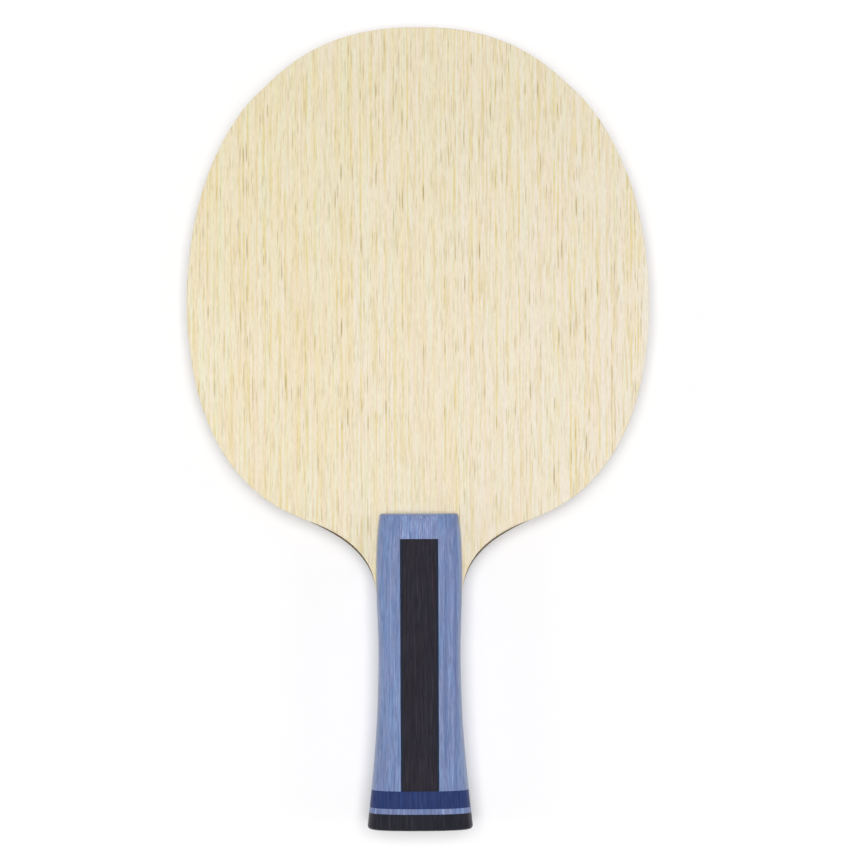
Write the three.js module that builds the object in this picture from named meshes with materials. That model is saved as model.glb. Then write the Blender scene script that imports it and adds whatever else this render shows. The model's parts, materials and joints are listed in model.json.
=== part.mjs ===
// A bare table tennis blade: seven plies share one outline from the tip of the head to the butt, and a
// handle scale of seven pieces is glued to each side of the tongue. Lengths are millimetres.
// +Y runs from the butt to the tip and +Z out of the front face. The outline is centred on the Z axis,
// and the back scale touches z = 0 where it is thickest.
import * as THREE from "three";
import { LoftGeometry } from "three/addons/geometries/LoftGeometry.js";

const HEAD_LENGTH = 157; // from the shoulder of the handle to the tip
const HEAD_WIDTH = 149.2;
const HANDLE_LENGTH = 101.5;
const HANDLE_THICKNESS = 25; // across both scales at the flared end
const SHOULDER_Y = (HANDLE_LENGTH - HEAD_LENGTH) / 2;
const MID_Z = HANDLE_THICKNESS / 2;

const CORE_PLY = 3;
const INNER_PLY = 0.625;
const FIBRE_PLY = 0.25;
const FACE_PLY = 0.5;
const HALF_BLADE = CORE_PLY / 2 + INNER_PLY + FIBRE_PLY + FACE_PLY;

const TIP_FLAT = 2; // half of the short straight chord at the tip
const NECK_END = 28; // distance below the shoulder where the neck runs into the handle's own outline
const NECK_HALF_WIDTH = 13.7;
const OUTLINE_STEPS = 13; // chords for each curve of the head

// The neck is sanded back between these distances below the shoulder, deepest halfway.
const SANDING_START = 2;
const SANDING_END = 25;
const FACE_SET_BACK = 1; // outer side of the face ply
const FIBRE_SET_BACK = 0.4; // outer side of the fibre ply

// Distances below the shoulder at which the pieces of a scale meet.
const TOP_BLOCK_END = 8;
const STRIPS_END = 88.75;
const ROYAL_BAND_END = 94.375;
const PALE_STRIPE_END = 96.125;
const CENTRE_STRIP_HALF = 6.125;

const BUTT_ROUND = 1.25; // round-over of the whole butt

// Half width and half thickness of the handle against the distance below the shoulder.
const WIDTH_STATIONS = [0, 6, 18, NECK_END, 42, 66, 86, HANDLE_LENGTH];
const HALF_WIDTHS = [12.6, 13.35, 13.8, NECK_HALF_WIDTH, 13.25, 13.8, 15.4, 17.1];
const THICKNESS_STATIONS = [0, 20, 46, 80, HANDLE_LENGTH - BUTT_ROUND];
const HALF_THICKNESSES = [9.25, 10.5, 10.75, 11.5, MID_Z];

const SIDE_LAND = 1; // upright side of a scale, from the glue plane to the foot of its dome
const DOME_POWER = 2.6; // exponent of the superellipse over a scale
const SHOULDER_ROUND = 1.5; // round-over along the front edge of the shoulder
const SHOULDER_CORNER = 0.6; // the shoulder's corners seen from the front
const ROUND_ANGLES = [0, 30, 60, 90].map(THREE.MathUtils.degToRad);

const BLUE = 0x7b8bb1;
const BLACK = 0x33303a;
const ROYAL = 0x31406c;
const PALE_BLUE = 0x8593b8;
const BUTT_BLACK = 0x2d2e35;
const KOTO = 0xede1c3;
const FIBRE = 0x4c4740;
const LIMBA = 0xd2b380;
const CORE = 0xe3c896;

const group = new THREE.Group();
group.name = "table_tennis_paddle";

function addPiece(name, geometry, color, roughness) {
  const material = new THREE.MeshStandardMaterial({ color, roughness, metalness: 0 });
  const mesh = new THREE.Mesh(geometry, material);
  mesh.name = name;
  group.add(mesh);
}

// How far a quarter-round edge has fallen away at a distance in from the end it rounds.
function roundOver(distance, radius) {
  const left = Math.max(radius - distance, 0);
  return radius - Math.sqrt(radius * radius - left * left);
}

const widthCurve = new THREE.CubicInterpolant(WIDTH_STATIONS, HALF_WIDTHS, 1);
const thicknessCurve = new THREE.CubicInterpolant(THICKNESS_STATIONS, HALF_THICKNESSES, 1);

function tongueHalfWidth(below) {
  return widthCurve.evaluate(below)[0] - roundOver(HANDLE_LENGTH - below, BUTT_ROUND);
}

function scaleHalfWidth(below) {
  return tongueHalfWidth(below) - roundOver(below, SHOULDER_CORNER);
}

function scaleHalfThickness(below) {
  const ends = roundOver(below, SHOULDER_ROUND) + roundOver(HANDLE_LENGTH - below, BUTT_ROUND);
  return thicknessCurve.evaluate(below)[0] - ends;
}

// Stations down the handle: one on every joint, and several over each rounded end.
const shoulderStations = ROUND_ANGLES.map((angle) => SHOULDER_ROUND * (1 - Math.cos(angle)));
const buttStations = ROUND_ANGLES.map((angle) => HANDLE_LENGTH - BUTT_ROUND * (1 - Math.sin(angle)));
const gripStations = [4, TOP_BLOCK_END, 13, 18, 23, NECK_END, 35, 42, 50, 58, 66, 73, 79, 84, STRIPS_END];
const bandStations = [91.5, ROYAL_BAND_END, PALE_STRIPE_END, 98];
const handleStations = [...shoulderStations, ...gripStations, ...bandStations, ...buttStations];

// Right half of the blade's outline from tip to butt, as x against the height above the shoulder.
const head = new THREE.Path();
head.moveTo(TIP_FLAT, HEAD_LENGTH);
head.bezierCurveTo(33, HEAD_LENGTH, 46.3, 140.25, 51, 136.25);
head.bezierCurveTo(55.7, 132.25, HEAD_WIDTH / 2, 111.25, HEAD_WIDTH / 2, 68);
head.bezierCurveTo(HEAD_WIDTH / 2, 38.5, 65.3, 10.25, 40, -0.5);
head.bezierCurveTo(28.4, -5.4, 13.85, -11.75, NECK_HALF_WIDTH, -NECK_END);
const tongueStations = handleStations.filter((below) => below > NECK_END);
const tongue = tongueStations.map((below) => new THREE.Vector2(tongueHalfWidth(below), -below));
const bladeOutline = [...head.getPoints(OUTLINE_STEPS), ...tongue];

// An outline point moved square to the outline, into the blade, by the neck's sanding.
function sandedPoint(index, setBack) {
  const point = bladeOutline[index];
  const span = SANDING_END - SANDING_START;
  const along = THREE.MathUtils.clamp((-point.y - SANDING_START) / span, 0, 1);
  const depth = setBack * Math.sin(Math.PI * along) ** 2;
  const before = bladeOutline[Math.max(index - 1, 0)];
  const after = bladeOutline[Math.min(index + 1, bladeOutline.length - 1)];
  const down = after.clone().sub(before).normalize();
  return new THREE.Vector2(point.x + down.y * depth, point.y - down.x * depth);
}

// A ply between two heights, with the neck's set-back at its lower and its upper side.
function plyGeometry(lowZ, highZ, lowSetBack, highSetBack) {
  const sections = bladeOutline.map((point, index) => {
    const low = sandedPoint(index, lowSetBack);
    const high = sandedPoint(index, highSetBack);
    return [
      new THREE.Vector3(-low.x, SHOULDER_Y + low.y, lowZ),
      new THREE.Vector3(low.x, SHOULDER_Y + low.y, lowZ),
      new THREE.Vector3(high.x, SHOULDER_Y + high.y, highZ),
      new THREE.Vector3(-high.x, SHOULDER_Y + high.y, highZ),
    ];
  });
  return new LoftGeometry(sections, { capStart: true, capEnd: true });
}

// The same ply on both sides of the core, from one distance off the middle to another.
function addPlyPair(name, from, to, setBackFrom, setBackTo, color, roughness) {
  const front = plyGeometry(MID_Z + from, MID_Z + to, setBackFrom, setBackTo);
  const back = plyGeometry(MID_Z - to, MID_Z - from, setBackTo, setBackFrom);
  addPiece(`${name}_front`, front, color, roughness);
  addPiece(`${name}_back`, back, color, roughness);
}

const innerPlyTop = CORE_PLY / 2 + INNER_PLY;
const fibrePlyTop = innerPlyTop + FIBRE_PLY;
addPiece("core_ply", plyGeometry(MID_Z - CORE_PLY / 2, MID_Z + CORE_PLY / 2, 0, 0), CORE, 0.8);
addPlyPair("inner_ply", CORE_PLY / 2, innerPlyTop, 0, 0, LIMBA, 0.75);
addPlyPair("fibre_ply", innerPlyTop, fibrePlyTop, 0, FIBRE_SET_BACK, FIBRE, 0.5);
addPlyPair("face_ply", fibrePlyTop, HALF_BLADE, FIBRE_SET_BACK, FACE_SET_BACK, KOTO, 0.6);

// Angle round a scale's dome, 0 at its right foot and PI at its left, above a given x.
function domeAngle(x, halfWidth) {
  const share = THREE.MathUtils.clamp(x / halfWidth, -1, 1);
  return Math.acos(Math.sign(share) * Math.abs(share) ** (DOME_POWER / 2));
}

// Outline of a slice of a scale between two x positions, as x and height off the middle of the blade.
function scaleSlice(below, fromX, toX, steps) {
  const halfWidth = scaleHalfWidth(below);
  const foot = HALF_BLADE + SIDE_LAND;
  const rise = scaleHalfThickness(below) - foot;
  const left = Math.max(fromX, -halfWidth);
  const right = Math.min(toX, halfWidth);
  const slice = [new THREE.Vector2(left, HALF_BLADE), new THREE.Vector2(right, HALF_BLADE)];
  for (let step = 0; step <= steps; step++) {
    const start = domeAngle(right, halfWidth);
    const angle = THREE.MathUtils.lerp(start, domeAngle(left, halfWidth), step / steps);
    const across = Math.abs(Math.cos(angle)) ** (2 / DOME_POWER);
    const up = Math.sin(angle) ** (2 / DOME_POWER);
    slice.push(new THREE.Vector2(Math.sign(Math.cos(angle)) * across * halfWidth, foot + up * rise));
  }
  return slice;
}

// A piece of the front scale, or of the back scale when side is -1.
function scaleGeometry(side, stations, fromX, toX, steps) {
  const sections = stations.map((below) => {
    const slice = scaleSlice(below, fromX, toX, steps);
    const section = slice.map(({ x, y }) => new THREE.Vector3(x, SHOULDER_Y - below, MID_Z + side * y));
    return side > 0 ? section : section.reverse();
  });
  return new LoftGeometry(sections, { capStart: true, capEnd: true });
}

function stationsBetween(from, to) {
  return handleStations.filter((below) => below >= from && below <= to);
}

for (const [place, side] of [["front", 1], ["back", -1]]) {
  const strip = stationsBetween(0, STRIPS_END);
  const topBlock = stationsBetween(0, TOP_BLOCK_END);
  const centreStrip = stationsBetween(TOP_BLOCK_END, STRIPS_END);
  const royalBand = stationsBetween(STRIPS_END, ROYAL_BAND_END);
  const paleStripe = stationsBetween(ROYAL_BAND_END, PALE_STRIPE_END);
  const butt = stationsBetween(PALE_STRIPE_END, HANDLE_LENGTH);
  const half = CENTRE_STRIP_HALF;
  addPiece(`left_strip_${place}`, scaleGeometry(side, strip, -Infinity, -half, 6), BLUE, 0.5);
  addPiece(`right_strip_${place}`, scaleGeometry(side, strip, half, Infinity, 6), BLUE, 0.5);
  addPiece(`top_block_${place}`, scaleGeometry(side, topBlock, -half, half, 4), BLUE, 0.5);
  addPiece(`centre_strip_${place}`, scaleGeometry(side, centreStrip, -half, half, 4), BLACK, 0.45);
  addPiece(`royal_band_${place}`, scaleGeometry(side, royalBand, -Infinity, Infinity, 16), ROYAL, 0.5);
  addPiece(`pale_stripe_${place}`, scaleGeometry(side, paleStripe, -Infinity, Infinity, 16), PALE_BLUE, 0.5);
  addPiece(`butt_block_${place}`, scaleGeometry(side, butt, -Infinity, Infinity, 16), BUTT_BLACK, 0.45);
}

export default group;
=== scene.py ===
"""A bare table tennis blade, level above a white table and seen square on from above.

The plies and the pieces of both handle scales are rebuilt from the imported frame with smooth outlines,
sanded edges and fine seams, in metres. Every wood is a solid texture in the object's own coordinates,
so its grain runs along the paddle and its pores show as dots where the grain is cut across.
"""
import json
import math

import bpy
import numpy as np
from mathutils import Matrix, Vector


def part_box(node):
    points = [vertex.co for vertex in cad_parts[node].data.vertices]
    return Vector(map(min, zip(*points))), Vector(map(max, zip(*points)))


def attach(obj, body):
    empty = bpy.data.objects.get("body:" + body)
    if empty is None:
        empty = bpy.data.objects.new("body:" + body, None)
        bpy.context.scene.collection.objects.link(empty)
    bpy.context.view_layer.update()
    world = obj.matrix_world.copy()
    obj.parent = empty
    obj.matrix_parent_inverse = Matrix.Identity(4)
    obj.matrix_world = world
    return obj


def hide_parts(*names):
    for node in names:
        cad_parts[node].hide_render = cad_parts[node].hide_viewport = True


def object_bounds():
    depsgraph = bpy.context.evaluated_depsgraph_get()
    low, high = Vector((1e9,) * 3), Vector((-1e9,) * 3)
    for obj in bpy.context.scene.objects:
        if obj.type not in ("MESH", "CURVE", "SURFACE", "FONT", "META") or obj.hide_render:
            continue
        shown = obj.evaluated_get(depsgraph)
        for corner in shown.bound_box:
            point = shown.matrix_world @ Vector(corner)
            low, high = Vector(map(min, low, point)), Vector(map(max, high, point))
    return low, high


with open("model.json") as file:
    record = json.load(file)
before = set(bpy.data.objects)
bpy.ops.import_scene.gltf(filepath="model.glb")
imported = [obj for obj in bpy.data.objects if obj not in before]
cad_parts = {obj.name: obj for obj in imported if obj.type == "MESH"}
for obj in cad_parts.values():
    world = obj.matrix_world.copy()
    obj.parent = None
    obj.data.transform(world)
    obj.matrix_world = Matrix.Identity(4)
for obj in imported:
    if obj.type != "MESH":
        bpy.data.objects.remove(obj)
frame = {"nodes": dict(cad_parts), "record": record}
cad_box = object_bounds()

MM = 0.001

# The dome of a handle scale and the round-overs at its ends, as the CAD has them.
SIDE_LAND = 1.0 * MM
DOME_POWER = 2.6
SHOULDER_ROUND = 1.5 * MM
SHOULDER_CORNER = 0.6 * MM
BUTT_ROUND = 1.25 * MM

# The sanded neck: how far the edge is set back at depths below either face, and where it is sanded.
NECK_SET_BACK = ((0.0, 1.05 * MM), (0.5 * MM, 0.55 * MM), (0.75 * MM, 0.0))
SANDING_START = 2.4 * MM  # below the shoulder
SANDING_END = 25.0 * MM
SANDING_SKEW = 0.62  # below 1, the sanding is deepest nearer the head
SANDING_TAPER = 1.3  # above 1, it runs out more gently at both ends

NECK_END = 28.0 * MM  # below the shoulder, where the neck runs into the handle
BARE_BLEND = 8.0 * MM  # above the neck's end, over which the head's broken edge comes in
OUTLINE_STEPS = 4  # for each of the CAD's chords
STATION_STEP = 2.0 * MM  # between cuts across the handle
HEAD_EDGE_ROUND = 0.25 * MM  # broken edge all round the head
EDGE_DEPTHS = np.array([0.015, 0.06, 0.13, 0.25]) * MM  # below a face, where an edge has a ring of points
CAP_MARGIN = 0.3 * MM  # flat border that keeps a face shaded flat up to its rounded edge
CAP_SHRINK = 0.96  # and the same for the ends of the handle, as a share of the end's size
SEAM_WIDTH = 0.12 * MM  # from the middle of a glued joint to full height
SEAM_DEPTH = 0.05 * MM
DOME_STEPS = 40
ROUND_ANGLES = np.radians(np.linspace(0, 90, 9))
SHARP_ANGLE = math.radians(35)
SAME_PLACE = 0.01 * MM  # places closer than this are the same
PLACE_DIGITS = 7  # of a metre, to which places are rounded so that the copies of a corner agree

CAMERA_DISTANCE = 1.029  # above the front face
CAMERA_X = 2.08 * MM
CAMERA_Y = 0.8 * MM
CAMERA_ROLL = -math.radians(0.25)
CAMERA_NEAR = 0.1  # nothing nearer than this is seen
LENS = 135.0

EXPOSURE = 1.2  # how much brighter than a full white the light makes a perfectly white surface
SURROUND_LOW = 1.05  # brightness of the surround near the horizon
SURROUND_HIGH = 0.2  # and overhead
WALL_FADE = (0.1, 0.4)  # where the one gives way to the other, as the sine of the angle upwards
TABLE_WHITES = ((0.882, 0.878, 0.89, 1.0), (0.892, 0.888, 0.9, 1.0))  # that its streaks run between
TABLE_REACH = 2.4  # from the middle to each side
GLOW_START = 0.8  # from the middle, where the table starts to glow to make up for light that falls off
TABLE_GLOW = 0.5  # and how much it glows at its sides
OVERHEAD_PLACE = (0.0, 0.2, 5.0)  # a little towards the head
OVERHEAD_SIZE = 2.75
OVERHEAD_POWER = 215.0
SIDE_DISTANCE = 1.5
SIDE_HEIGHT = 0.7
SIDE_SIZE = 0.8
SIDE_POWER = 4.5

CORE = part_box("core_ply")
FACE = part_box("face_ply_front")
MID_Z = (CORE[0].z + CORE[1].z) / 2
GLUE_PLANE = FACE[1].z - MID_Z
BUTT_Y = CORE[0].y
SHOULDER_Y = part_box("top_block_front")[1].y


# ---------------------------------------------------------------- shape read from the frame

def node_points(node):
    """The corners of a CAD node as an array."""
    vertices = frame["nodes"][node].data.vertices
    return np.round([tuple(v.co) for v in vertices], PLACE_DIGITS)


def widest_by_height(points, column):
    """Pairs of y and the largest distance from the middle in one column, from tip to butt."""
    middle = MID_Z if column == 2 else 0.0
    widest = {}
    for point in points:
        widest[point[1]] = max(widest.get(point[1], 0.0), abs(point[column] - middle))
    stations = sorted(widest, reverse=True)
    return np.array([(y, widest[y]) for y in stations])


def round_over(distance, radius):
    """How far a quarter-round edge has fallen away at a distance in from the end it rounds."""
    left = np.clip(radius - distance, 0.0, radius)
    return radius - np.sqrt(radius * radius - left * left)


def smooth_through(stations, y):
    """Values at y on a smooth curve through stations of (y, value), which run from high y to low."""
    ys, values = stations[::-1, 0], stations[::-1, 1]
    slopes = np.gradient(values, ys)
    index = np.clip(np.searchsorted(ys, y) - 1, 0, len(ys) - 2)
    step = ys[index + 1] - ys[index]
    t = (y - ys[index]) / step
    near = values[index] * (1 + 2 * t) * (1 - t) ** 2 + slopes[index] * step * t * (1 - t) ** 2
    far = values[index + 1] * t * t * (3 - 2 * t) + slopes[index + 1] * step * t * t * (t - 1)
    return near + far


SCALE_NODES = [name for name in frame["nodes"] if name.endswith("_front") and "ply" not in name]
SCALE_POINTS = np.vstack([node_points(name) for name in SCALE_NODES])


def without_rounds(stations, shoulder_radius):
    """The same stations with both ends' round-overs put back, which leaves one smooth curve."""
    y = stations[:, 0]
    ends = round_over(SHOULDER_Y - y, shoulder_radius) + round_over(y - BUTT_Y, BUTT_ROUND)
    full = stations.copy()
    full[:, 1] += ends
    inner = (y < SHOULDER_Y - shoulder_radius / 2) & (y > BUTT_Y + BUTT_ROUND / 2)
    return full[inner | (y == y.max()) | (y == y.min())]


WIDTHS = without_rounds(widest_by_height(SCALE_POINTS, 0), SHOULDER_CORNER)
THICKNESSES = without_rounds(widest_by_height(SCALE_POINTS, 2), SHOULDER_ROUND)


def tongue_half_width(y):
    return smooth_through(WIDTHS, y) - round_over(y - BUTT_Y, BUTT_ROUND)


def scale_half_width(y):
    return tongue_half_width(y) - round_over(SHOULDER_Y - y, SHOULDER_CORNER)


def scale_half_thickness(y):
    ends = round_over(SHOULDER_Y - y, SHOULDER_ROUND) + round_over(y - BUTT_Y, BUTT_ROUND)
    return smooth_through(THICKNESSES, y) - ends


# ---------------------------------------------------------------- meshes

def make_piece(node, vertices, faces, material):
    """A closed mesh that stands for a CAD node, smooth except over its sharp edges."""
    mesh = bpy.data.meshes.new(node + "_wood")
    mesh.from_pydata([tuple(v) for v in vertices], [], faces)
    mesh.shade_smooth()
    mesh.set_sharp_from_angle(angle=SHARP_ANGLE)
    mesh.materials.append(material)
    piece = bpy.data.objects.new(node + "_wood", mesh)
    bpy.context.scene.collection.objects.link(piece)
    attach(piece, "root")
    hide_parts(node)
    return piece


def smooth_curve(corners, steps):
    """A smooth curve through corners, in equal steps between each two."""
    chords = np.linalg.norm(np.diff(corners, axis=0), axis=1)
    along = np.concatenate([[0.0], np.cumsum(chords)])
    tangents = np.gradient(corners, along, axis=0)
    t = np.arange(steps)[:, None] / steps
    pieces = []
    for i, chord in enumerate(chords):
        start, end = corners[i], corners[i + 1]
        near = start * (1 + 2 * t) * (1 - t) ** 2 + tangents[i] * chord * t * (1 - t) ** 2
        far = end * t * t * (3 - 2 * t) + tangents[i + 1] * chord * t * t * (t - 1)
        pieces.append(near + far)
    return pieces


def blade_outline():
    """The blade's outline from tip to butt down the right and back up the left, as a loop of x and y."""
    points = node_points("core_ply")
    right = sorted({(x, y) for x, y, _ in points if x > 0}, key=lambda p: -p[1])
    neck_end = SHOULDER_Y - NECK_END
    head = [p for p in right if p[1] > neck_end - SAME_PLACE]
    beyond = right[len(head)]
    mirrored_tip = (-head[0][0], head[0][1])
    pieces = smooth_curve(np.array([mirrored_tip, *head, beyond]), OUTLINE_STEPS)
    grip = np.arange(neck_end, BUTT_Y + BUTT_ROUND, -STATION_STEP)
    butt = BUTT_Y + BUTT_ROUND * (1 - np.sin(ROUND_ANGLES))
    ys = np.concatenate([grip, butt])
    handle = np.column_stack([tongue_half_width(ys), ys])
    side = np.vstack([*pieces[1:-1], handle])
    return np.vstack([side, side[::-1] * (-1, 1)])


def outward(loop):
    """Unit normals of a loop that runs clockwise, seen with x to the right and y up."""
    along = np.roll(loop, -1, axis=0) - np.roll(loop, 1, axis=0)
    normals = np.column_stack([-along[:, 1], along[:, 0]])
    return normals / np.linalg.norm(normals, axis=1)[:, None]


def smooth_step(value):
    value = np.clip(value, 0.0, 1.0)
    return value * value * (3 - 2 * value)


OUTLINE = blade_outline()
OUTLINE_NORMALS = outward(OUTLINE)
BELOW_SHOULDER = SHOULDER_Y - OUTLINE[:, 1]
SANDED_SHARE = np.clip((BELOW_SHOULDER - SANDING_START) / (SANDING_END - SANDING_START), 0, 1)
SANDED = np.sin(np.pi * SANDED_SHARE**SANDING_SKEW) ** SANDING_TAPER
BARE_EDGE = smooth_step((NECK_END - BELOW_SHOULDER) / BARE_BLEND)


def edge_inset(z):
    """How far the blade's edge stands in from its outline at a height, all the way round."""
    depth = GLUE_PLANE - abs(z - MID_Z)
    depths, set_backs = zip(*NECK_SET_BACK)
    sanding = np.interp(depth, depths, set_backs)
    return sanding * SANDED + round_over(depth, HEAD_EDGE_ROUND) * BARE_EDGE


def outline_ring(z, extra=0.0):
    flat = OUTLINE - OUTLINE_NORMALS * (edge_inset(z) + extra)[:, None]
    return np.column_stack([flat, np.full(len(flat), z)])


def ring_walls(rings, count):
    """Quads between one ring of points and the next, facing out."""
    faces = []
    for ring in range(rings - 1):
        start = ring * count
        for i in range(count):
            j = (i + 1) % count
            faces.append((start + j, start + i, start + count + i, start + count + j))
    return faces


def ladder(start, count, faces_up):
    """Quads across a ring, from each point of its first half to its twin in the second."""
    faces = []
    for i in range(count // 2 - 1):
        rung = (start + i, start + i + 1, start + count - 2 - i, start + count - 1 - i)
        faces.append(rung[::-1] if faces_up else rung)
    return faces


def make_ply(node, material):
    """One ply, with the broken edge of the head and the sanded neck where it reaches a face."""
    low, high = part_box(node)[0].z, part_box(node)[1].z
    inner = np.concatenate([MID_Z + GLUE_PLANE - EDGE_DEPTHS, MID_Z - GLUE_PLANE + EDGE_DEPTHS])
    levels = sorted([low, high, *(z for z in inner if low < z < high)])
    rings = [outline_ring(z) for z in levels]
    rings = [outline_ring(low, CAP_MARGIN), *rings, outline_ring(high, CAP_MARGIN)]
    count = len(OUTLINE)
    faces = ring_walls(len(rings), count)
    faces += ladder(0, count, faces_up=False)
    faces += ladder((len(rings) - 1) * count, count, faces_up=True)
    return make_piece(node, np.vstack(rings), faces, material)


# ---------------------------------------------------------------- handle scales

STRIP_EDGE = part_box("centre_strip_front")[1].x
SCALE_ENDS = {round(corner.y, PLACE_DIGITS) for node in SCALE_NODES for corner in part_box(node)}
JOINTS = sorted(SCALE_ENDS)[1:-1]


def joint_groove(y):
    """How far the surface sinks into the fine V of the nearest glued joint across the handle."""
    nearest = min(abs(y - joint) for joint in JOINTS)
    return max(SEAM_DEPTH * (1 - nearest / SEAM_WIDTH), 0.0)


def dome_angle(x, half_width):
    """Where a dome's rim stands over x, as an angle from its right foot."""
    return math.acos(math.copysign(min(abs(x) / half_width, 1.0) ** (DOME_POWER / 2), x))


def scale_section(y, left, right):
    """A scale piece cut across: its rim from left to right and its foot, above the middle plane.

    A side given as None is the handle's own side, and any other is a glued face at that x.
    """
    sunk = joint_groove(y)
    half_width = scale_half_width(y) - sunk
    rise = scale_half_thickness(y) - sunk - GLUE_PLANE - SIDE_LAND
    start = -half_width if left is None else left + SEAM_WIDTH
    end = half_width if right is None else right - SEAM_WIDTH
    angles = np.linspace(dome_angle(start, half_width), dome_angle(end, half_width), DOME_STEPS)
    xs = np.copysign(abs(np.cos(angles)) ** (2 / DOME_POWER), np.cos(angles)) * half_width
    heights = rise * abs(np.sin(angles)) ** (2 / DOME_POWER) + GLUE_PLANE + SIDE_LAND
    rim = list(zip(xs, heights))
    land = GLUE_PLANE + SEAM_WIDTH
    rim.insert(0, (-half_width, land) if left is None else (left, heights[0] - SEAM_DEPTH))
    rim.append((half_width, land) if right is None else (right, heights[-1] - SEAM_DEPTH))
    foot_left = SEAM_DEPTH - half_width if left is None else left
    foot_right = half_width - SEAM_DEPTH if right is None else right
    foot = [(x, GLUE_PLANE) for x in np.linspace(foot_left, foot_right, len(rim))]
    return np.array(rim), np.array(foot)


def scale_stations(low, high):
    """Where a scale piece is cut, from its end near the head to its end near the butt."""
    ys = list(np.linspace(high, low, 1 + math.ceil((high - low) / STATION_STEP)))
    if high > SHOULDER_Y - MM:
        ys += list(SHOULDER_Y - SHOULDER_ROUND * (1 - np.cos(ROUND_ANGLES)))
    else:
        ys.append(high - SEAM_WIDTH)
    if low < BUTT_Y + MM:
        ys += list(BUTT_Y + BUTT_ROUND * (1 - np.cos(ROUND_ANGLES)))
    else:
        ys.append(low + SEAM_WIDTH)
    return sorted(set(np.round(ys, PLACE_DIGITS)), reverse=True)


def shrunk(section):
    """A section drawn in a little towards its own middle."""
    middle = section.mean(axis=0)
    return middle + (section - middle) * CAP_SHRINK


def make_scale_piece(node, material):
    """One piece of a handle scale, between the joints where the CAD has them."""
    low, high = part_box(node)
    left, right = (x if abs(abs(x) - STRIP_EDGE) < SAME_PLACE else None for x in (low.x, high.x))
    front = high.z > MID_Z
    sign = 1 if front else -1
    rings = []
    for y in scale_stations(low.y, high.y):
        rim, foot = scale_section(y, left, right)
        loop = np.vstack([rim, foot[::-1]])
        rings.append(np.column_stack([loop[:, 0], np.full(len(loop), y), MID_Z + sign * loop[:, 1]]))
    if high.y > SHOULDER_Y - MM:
        rings.insert(0, shrunk(rings[0]))
    if low.y < BUTT_Y + MM:
        rings.append(shrunk(rings[-1]))
    count = len(rings[0])
    faces = ring_walls(len(rings), count)
    faces += ladder(0, count, faces_up=False)
    faces += ladder((len(rings) - 1) * count, count, faces_up=True)
    if not front:
        faces = [face[::-1] for face in faces]
    return make_piece(node, np.vstack(rings), faces, material)


# ---------------------------------------------------------------- shader helpers

MIX_INPUTS = (0, 6, 7)  # a Mix node's factor and its two colours, among the sockets of all its types
MIX_RESULT = 2


def srgb(red, green, blue):
    """A colour from its usual 0 to 255 values, as linear light under the scene's over-bright white."""
    values = [value / 255 for value in (red, green, blue)]
    linear = [((value + 0.055) / 1.055) ** 2.4 if value > 0.04045 else value / 12.92 for value in values]
    return (*(value / EXPOSURE for value in linear), 1.0)


def add(tree, kind, inputs, **settings):
    """A new node with its sockets set from numbers or linked from other nodes' sockets."""
    made = tree.nodes.new("ShaderNode" + kind)
    for name, value in settings.items():
        setattr(made, name, value)
    for name, value in inputs.items():
        if isinstance(value, bpy.types.NodeSocket):
            tree.links.new(value, made.inputs[name])
        else:
            made.inputs[name].default_value = value
    return made


def math_node(tree, operation, *values):
    return add(tree, "Math", dict(enumerate(values)), operation=operation).outputs[0]


def remap(tree, value, low, high, to_low=0.0, to_high=1.0):
    """value brought from low..high to to_low..to_high, and held there."""
    inputs = {"Value": value, "From Min": low, "From Max": high, "To Min": to_low, "To Max": to_high}
    return add(tree, "MapRange", inputs).outputs["Result"]


def mix(tree, factor, first, second, blend="MIX"):
    """Two colours mixed, with factor from 0 for the first to 1 for the second."""
    made = add(tree, "Mix", {}, data_type="RGBA", blend_type=blend)
    for socket, value in zip(MIX_INPUTS, (factor, first, second)):
        if isinstance(value, bpy.types.NodeSocket):
            tree.links.new(value, made.inputs[socket])
        else:
            made.inputs[socket].default_value = value
    return made.outputs[MIX_RESULT]


def along_grain(tree, width, length, place):
    """Object coordinates scaled so that one unit is width across the grain and length along it.

    A pattern made from them is moved by place, so that no two patterns agree.
    """
    position = add(tree, "TexCoord", {}).outputs["Object"]
    scale = (1 / width, 1 / length, 1 / width)
    return add(tree, "Mapping", {"Vector": position, "Scale": scale, "Location": place}).outputs["Vector"]


def streaks(tree, width, length, detail=2.0, place=(0.0, 0.0, 0.0)):
    """Noise drawn out along the grain, from 0 to 1."""
    grain = along_grain(tree, width, length, place)
    return add(tree, "TexNoise", {"Vector": grain, "Scale": 1.0, "Detail": detail}).outputs["Fac"]


def band(tree, width, length, edges, place=(0.0, 0.0, 0.0), detail=2.0):
    """Streaks made stronger: 0 up to the first edge of their strength and 1 past the second."""
    return remap(tree, streaks(tree, width, length, detail, place), *edges)


def pores(tree, width, length, size, place=(0.0, 0.0, 0.0)):
    """Cut vessels: short dashes along the grain, each of its own strength, from 0 to 1.

    One vessel lies in each cell of width by length, and size is its radius as a share of the cell.
    """
    grain = along_grain(tree, width, length, place)
    cells = add(tree, "TexVoronoi", {"Vector": grain, "Scale": 1.0, "Randomness": 1.0})
    inside = remap(tree, cells.outputs["Distance"], size, size * 0.5)
    strength = add(tree, "SeparateColor", {"Color": cells.outputs["Color"]}).outputs[0]
    return math_node(tree, "MULTIPLY", inside, math_node(tree, "POWER", strength, 2.0))


def flecked(tree, colour, depth):
    """The colour, up to depth lighter and darker in the short uneven flecks of planed fibres."""
    fleck = streaks(tree, 0.45 * MM, 2.2 * MM, 2.0, (4.4, 8.1, 0.0))
    shade = remap(tree, fleck, 0.3, 0.7, 1 - depth, 1 + depth)
    return mix(tree, 1.0, colour, shade, "MULTIPLY")


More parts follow.
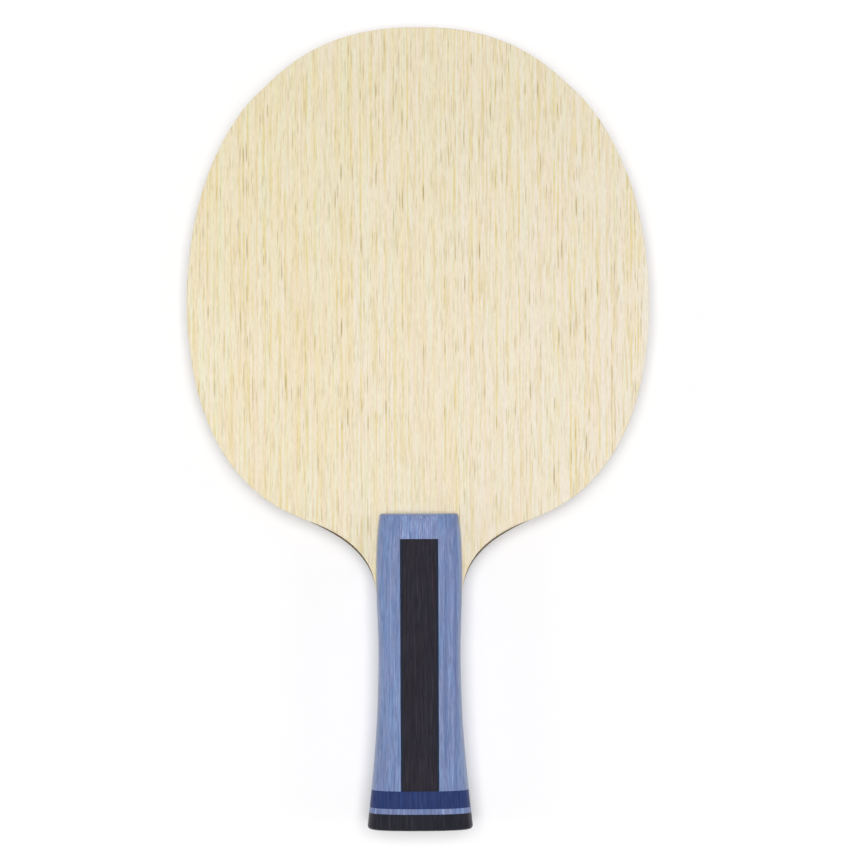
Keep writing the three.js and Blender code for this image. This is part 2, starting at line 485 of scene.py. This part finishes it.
def coordinate(tree, axis):
    """One of the object's own coordinates, which run along the paddle's axes in metres."""
    position = add(tree, "TexCoord", {}).outputs["Object"]
    return add(tree, "SeparateXYZ", {"Vector": position}).outputs[axis]


def new_material(name, roughness, specular):
    """A new material with its node tree and its shader, which has no colour yet."""
    material = bpy.data.materials.new(name)
    material.use_nodes = True
    tree = material.node_tree
    shader = tree.nodes["Principled BSDF"]
    shader.inputs["Roughness"].default_value = roughness
    shader.inputs["Specular IOR Level"].default_value = specular
    return material, tree, shader


def finish_wood(tree, shader, colour, height, depth, roughness):
    """Links colour, a bump of a depth in metres and a roughness to the shader."""
    tree.links.new(colour, shader.inputs["Base Color"])
    tree.links.new(roughness, shader.inputs["Roughness"])
    bump = add(tree, "Bump", {"Height": height, "Distance": depth, "Strength": 1.0})
    tree.links.new(bump.outputs["Normal"], shader.inputs["Normal"])


# ---------------------------------------------------------------- woods

# Colours of the face veneer, from its ground to its largest vessels.
CREAM = srgb(243, 231, 211)
WARM_CREAM = srgb(242, 229, 194)
GREEN_CREAM = srgb(239, 233, 206)
PINK_CREAM = srgb(241, 222, 192)
PALE_SIDE = srgb(238, 230, 226)
HONEY = srgb(234, 214, 148)
FINE_LINE = srgb(220, 202, 148)
FAINT_PORE = srgb(217, 202, 154)
SMALL_PORE = srgb(205, 188, 140)
LARGE_PORE = srgb(188, 169, 122)
PAINTED_TIP_SHADE = (0.94, 0.945, 0.905, 1.0)  # painted shade: the veneer's colour is multiplied by this at the tip, darker there as weaker light would make it

# Dyed woods: the two ends of their wandering hue, as multipliers, and the colour of the sheen painted on
# their rounded edges.
COOL_TINT = (0.91, 1.0, 1.03, 1.0)
WARM_TINT = (1.09, 0.985, 0.97, 1.0)
SHEEN_COLOUR = srgb(172, 175, 184)

GLUE_STAIN = srgb(26, 38, 57)
STAIN_START = 0.85 * MM  # in from the glued side
STAIN_FULL = 0.45 * MM
DEEP_BLUE = srgb(96, 110, 158)
DEEP_STREAKS = ((12.2 * MM, 0.7 * MM, 0.5), (9.2 * MM, 0.5 * MM, 0.35))  # x, half width, strength
STREAK_WANDER = 1.2 * MM


def toward_tip(tree):
    """Where the painted shade comes in: from 0 in the middle of the head to 1 at its tip."""
    return remap(tree, coordinate(tree, "Y"), 20 * MM, 110 * MM)


def koto_ground(tree):
    """The veneer between its vessels: cream with warmer, greener and pinker bands, paler to the right."""
    warm = band(tree, 1.8 * MM, 150 * MM, (0.4, 0.62), detail=3.0)
    green = band(tree, 1.5 * MM, 50 * MM, (0.46, 0.66), (7.3, 0.2, 0.0))
    pink = band(tree, 1.0 * MM, 50 * MM, (0.5, 0.68), (2.9, 5.2, 0.0))
    colour = mix(tree, warm, CREAM, WARM_CREAM)
    colour = mix(tree, green, colour, GREEN_CREAM)
    colour = mix(tree, pink, colour, PINK_CREAM)
    paler = remap(tree, coordinate(tree, "X"), -60 * MM, 60 * MM, 0.0, 0.35)
    return mix(tree, paler, colour, PALE_SIDE)


def koto():
    """Pale cream veneer, with honey-coloured vessels that crowd in straight rows along the grain."""
    material, tree, shader = new_material("koto_veneer", 0.6, 0.25)
    rows = band(tree, 0.7 * MM, 260 * MM, (0.46, 0.62), (9.2, 1.3, 0.0))
    length = band(tree, 0.9 * MM, 16 * MM, (0.44, 0.58), (3.1, 0.7, 0.0))
    gold = math_node(tree, "MULTIPLY", rows, remap(tree, length, 0.0, 1.0, 0.1, 0.75))
    colour = mix(tree, gold, koto_ground(tree), HONEY)
    fine = band(tree, 0.6 * MM, 12 * MM, (0.54, 0.66), (1.7, 4.1, 0.0))
    colour = mix(tree, math_node(tree, "MULTIPLY", fine, 0.4), colour, FINE_LINE)
    faint = pores(tree, 0.7 * MM, 9 * MM, 0.36, (5.5, 2.2, 0.7))
    colour = mix(tree, math_node(tree, "MULTIPLY", faint, 0.8), colour, FAINT_PORE)
    crowd = remap(tree, rows, 0.0, 0.8, 0.35, 1.0)
    large = math_node(tree, "MULTIPLY", pores(tree, 0.95 * MM, 12 * MM, 0.33), crowd)
    small = math_node(tree, "MULTIPLY", pores(tree, 0.75 * MM, 8 * MM, 0.36, (2.4, 0.6, 0.3)), crowd)
    colour = mix(tree, small, colour, SMALL_PORE)
    colour = mix(tree, large, colour, LARGE_PORE)
    # painted shade: the veneer darker towards the tip
    colour = mix(tree, toward_tip(tree), colour, mix(tree, 1.0, colour, PAINTED_TIP_SHADE, "MULTIPLY"))
    colour = flecked(tree, colour, 0.045)
    cut = math_node(tree, "MAXIMUM", large, small)
    height = math_node(tree, "SUBTRACT", 1.0, cut)
    finish_wood(tree, shader, colour, height, 0.03 * MM, remap(tree, cut, 0.0, 1.0, 0.6, 0.75))
    return material


def rim_sheen_mask(tree):
    """Painted sheen: 0 on flat and upright faces, 1 where the surface turns down over a rounded edge."""
    normal = add(tree, "NewGeometry", {}).outputs["Normal"]
    upright = math_node(tree, "ABSOLUTE", add(tree, "SeparateXYZ", {"Vector": normal}).outputs["Z"])
    return math_node(tree, "MULTIPLY", remap(tree, upright, 0.75, 0.4), remap(tree, upright, 0.0, 0.35))


def dyed_wood(name, seed, plain, dark, light, width, sheen_amount=0.35):
    """Dyed straight-grained veneer: fine streaks of a darker and a lighter shade, with a faint nap.

    Its hue wanders a little, and where it turns down over a rounded edge a painted sheen greys and pales
    it.
    """
    material, tree, shader = new_material(name, 0.75, 0.2)
    shader.inputs["Sheen Weight"].default_value = 0.3
    shader.inputs["Sheen Roughness"].default_value = 0.35
    broad = band(tree, width * 5, 90 * MM, (0.4, 0.64), (seed, 0.0, 0.0))
    long = band(tree, width * 1.4, 80 * MM, (0.4, 0.68), (seed, 1.7, 0.0))
    fine = band(tree, width, 7 * MM, (0.44, 0.74), (seed, 3.4, 0.0), detail=3.0)
    bright = band(tree, width * 1.4, 25 * MM, (0.5, 0.72), (seed, 5.1, 0.0))
    hue = band(tree, width * 4, 12 * MM, (0.34, 0.66), (seed, 6.8, 0.0))
    broad = math_node(tree, "MULTIPLY", broad, 0.3)
    long = math_node(tree, "MULTIPLY", long, 0.5)
    colour = mix(tree, math_node(tree, "ADD", broad, long), srgb(*plain), srgb(*dark))
    colour = mix(tree, bright, colour, srgb(*light))
    colour = mix(tree, math_node(tree, "MULTIPLY", fine, 0.8), colour, srgb(*dark))
    vessel = pores(tree, width * 2.5, 7 * MM, 0.25, (seed, 0.3, 0.6))
    colour = mix(tree, vessel, colour, srgb(*dark))
    colour = mix(tree, 1.0, colour, mix(tree, hue, COOL_TINT, WARM_TINT), "MULTIPLY")
    colour = flecked(tree, colour, 0.07)
    # painted sheen: light bounced off the white table, painted grey and pale onto rounded edges
    sheen_share = math_node(tree, "MULTIPLY", rim_sheen_mask(tree), sheen_amount)
    colour = mix(tree, sheen_share, colour, SHEEN_COLOUR)
    height = math_node(tree, "SUBTRACT", 1.0, math_node(tree, "MAXIMUM", fine, vessel))
    rough = remap(tree, fine, 0.0, 1.0, 0.75, 0.87)
    finish_wood(tree, shader, colour, height, 0.02 * MM, rough)
    return material


def recolour(material, change):
    """Passes the material's colour through change, a function of its node tree and colour socket."""
    tree = material.node_tree
    target = tree.nodes["Principled BSDF"].inputs["Base Color"]
    colour = target.links[0].from_socket
    tree.links.new(change(tree, colour), target)


def glue_stained(tree, colour):
    """Navy along the glued sides of the centre strip, where dye has crept in from the blue strips."""
    from_middle = math_node(tree, "ABSOLUTE", coordinate(tree, "X"))
    inside = math_node(tree, "SUBTRACT", STRIP_EDGE, from_middle)
    return mix(tree, remap(tree, inside, STAIN_START, STAIN_FULL), colour, GLUE_STAIN)


def deeper_streaks(tree, colour):
    """Two long streaks on the right-hand blue strips that took more dye."""
    wander = math_node(tree, "MULTIPLY", streaks(tree, 20 * MM, 60 * MM), STREAK_WANDER)
    across = math_node(tree, "ADD", coordinate(tree, "X"), wander)
    for centre, half_width, strength in DEEP_STREAKS:
        away = math_node(tree, "ABSOLUTE", math_node(tree, "SUBTRACT", across, centre))
        share = remap(tree, away, half_width, half_width * 0.3, 0.0, strength)
        colour = mix(tree, share, colour, DEEP_BLUE)
    return colour


# Each dyed wood's seed, its plain, dark and light colours, the width of its finest streaks, and how much
# sheen is painted on its rounded edges where that isn't the usual amount.
DYED_WOODS = {
    "fibre_weave": (1.3, (106, 92, 72), (82, 69, 53), (126, 112, 88), 0.2 * MM, 0.0),
    "inner_veneer": (2.9, (196, 172, 126), (150, 124, 84), (214, 194, 150), 0.3 * MM, 0.0),
    "core_wood": (4.1, (222, 204, 168), (188, 166, 124), (234, 220, 188), 0.4 * MM, 0.0),
    "blue_wood": (5.3, (132, 151, 192), (99, 116, 158), (145, 162, 203), 0.42 * MM),
    "black_wood": (6.7, (41, 37, 48), (30, 26, 36), (53, 49, 60), 0.4 * MM),
    "royal_wood": (7.9, (41, 59, 111), (29, 43, 91), (52, 70, 125), 0.35 * MM, 0.0),
    "pale_wood": (8.3, (127, 146, 190), (84, 100, 142), (153, 173, 216), 0.8 * MM, 0.15),
    "butt_wood": (9.1, (33, 34, 44), (23, 23, 32), (49, 50, 60), 0.6 * MM, 0.05),
}
MATERIALS = {"face_veneer": koto()}
for slot_name, dye in DYED_WOODS.items():
    MATERIALS[slot_name] = dyed_wood(slot_name, *dye)
recolour(MATERIALS["black_wood"], glue_stained)
recolour(MATERIALS["blue_wood"], deeper_streaks)

# The block at the shoulder shares the blue strips' slot, but its grain is finer and its blue lighter.
TOP_BLOCK = dyed_wood("blue_block_wood", 3.7, (144, 163, 205), (96, 112, 157), (162, 179, 221), 0.3 * MM)

for part in frame["record"]["subparts"]:
    build = make_ply if "ply" in part["node"] else make_scale_piece
    wood = TOP_BLOCK if part["node"].startswith("top_block") else MATERIALS[part["material_slot"]]
    build(part["node"], wood)


# ---------------------------------------------------------------- table, light and camera

def make_table():
    """A white table that the back of the butt rests on, with the head held level above it."""
    height = cad_box[0].z
    quarters = ((-1, -1), (1, -1), (1, 1), (-1, 1))
    corners = [(x * TABLE_REACH, y * TABLE_REACH, height) for x, y in quarters]
    mesh = bpy.data.meshes.new("table")
    mesh.from_pydata(corners, [], [(0, 1, 2, 3)])
    table = bpy.data.objects.new("table", mesh)
    bpy.context.scene.collection.objects.link(table)
    material, tree, shader = new_material("white_laminate", 0.6, 0.2)
    shade = streaks(tree, 40 * MM, 60 * MM)
    tree.links.new(mix(tree, shade, *TABLE_WHITES), shader.inputs["Base Color"])
    position = add(tree, "TexCoord", {}).outputs["Object"]
    away = add(tree, "VectorMath", {0: position}, operation="LENGTH").outputs["Value"]
    shader.inputs["Emission Color"].default_value = (1.0, 1.0, 1.0, 1.0)
    glow = remap(tree, away, GLOW_START, TABLE_REACH, 0.0, TABLE_GLOW)
    tree.links.new(glow, shader.inputs["Emission Strength"])
    mesh.materials.append(material)


def make_softbox(name, place, size, power):
    """A square area light that faces the middle of the paddle."""
    light = bpy.data.lights.new(name, "AREA")
    light.size = size
    light.energy = power
    lamp = bpy.data.objects.new(name, light)
    lamp.location = place
    lamp.rotation_euler = (-Vector(place)).to_track_quat("-Z", "Y").to_euler()
    bpy.context.scene.collection.objects.link(lamp)


def make_surround():
    """White walls round the table, bright near the horizon and dim towards the ceiling."""
    world = bpy.data.worlds.new("studio")
    world.use_nodes = True
    tree = world.node_tree
    surround = tree.nodes["Background"]
    surround.inputs["Color"].default_value = (1.0, 1.0, 1.0, 1.0)
    direction = add(tree, "TexCoord", {}).outputs["Generated"]
    upwards = add(tree, "SeparateXYZ", {"Vector": direction}).outputs["Z"]
    brightness = remap(tree, upwards, *WALL_FADE, SURROUND_LOW, SURROUND_HIGH)
    tree.links.new(brightness, surround.inputs["Strength"])
    bpy.context.scene.world = world


def make_light():
    """One large softbox overhead, a weak one on either side, and the white walls."""
    make_surround()
    make_softbox("overhead_softbox", OVERHEAD_PLACE, OVERHEAD_SIZE, OVERHEAD_POWER)
    for name, side in (("left_softbox", -1), ("right_softbox", 1)):
        make_softbox(name, (side * SIDE_DISTANCE, 0.0, SIDE_HEIGHT), SIDE_SIZE, SIDE_POWER)


def make_camera():
    """Straight down onto the blade's front face, with the handle towards the bottom of the picture."""
    data = bpy.data.cameras.new("camera")
    data.lens = LENS
    data.clip_start = CAMERA_NEAR
    camera = bpy.data.objects.new("camera", data)
    camera.location = (CAMERA_X, CAMERA_Y, FACE[1].z + CAMERA_DISTANCE)
    camera.rotation_euler = (0.0, 0.0, CAMERA_ROLL)
    bpy.context.scene.collection.objects.link(camera)
    bpy.context.scene.camera = camera


make_table()
make_light()
make_camera()
bpy.context.scene.view_settings.view_transform = "Standard"
